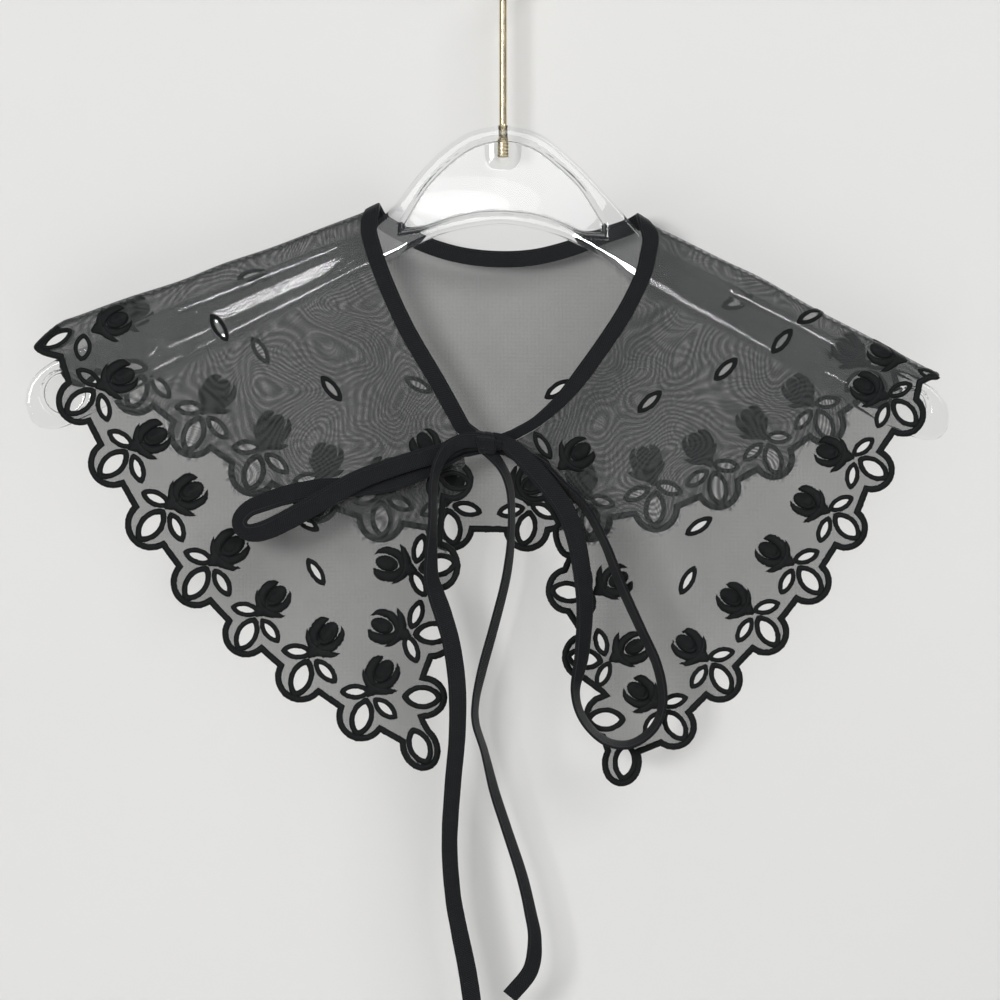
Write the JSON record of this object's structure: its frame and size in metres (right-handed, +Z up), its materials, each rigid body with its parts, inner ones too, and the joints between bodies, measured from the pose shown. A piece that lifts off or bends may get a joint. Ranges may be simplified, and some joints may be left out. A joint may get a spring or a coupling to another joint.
{
  "type": "lace collar on hanger",
  "caption": "Sheer black cape collar with scalloped embroidered edge and eyelets, neck binding tied in a bow, hung in two layers over a clear moulded hanger with a wire hook.",
  "frame": {"origin": "inside top of the hook's crook, where a rail holds the hanger", "axes": "+Z up, X along the hanger, the front of the collar with the bow faces -Y"},
  "size_m": [0.4243, 0.034, 0.5241],
  "materials": {
    "organza": "sheer black organza with satin-stitch embroidery",
    "ribbon": "matte black bias ribbon",
    "acrylic": "clear polished moulded acrylic",
    "hook_metal": "satin pale brass"
  },
  "bodies": {
    "root": {"collar_front_left": "organza", "collar_front_right": "organza", "collar_back": "organza", "neck_binding": "ribbon", "tie_knot": "ribbon", "tie_loop_left": "ribbon", "tie_loop_right": "ribbon", "tie_tail_left": "ribbon", "tie_tail_right": "ribbon", "hanger_body": "acrylic", "hanger_hook": "hook_metal"}
  },
  "joints": []
}
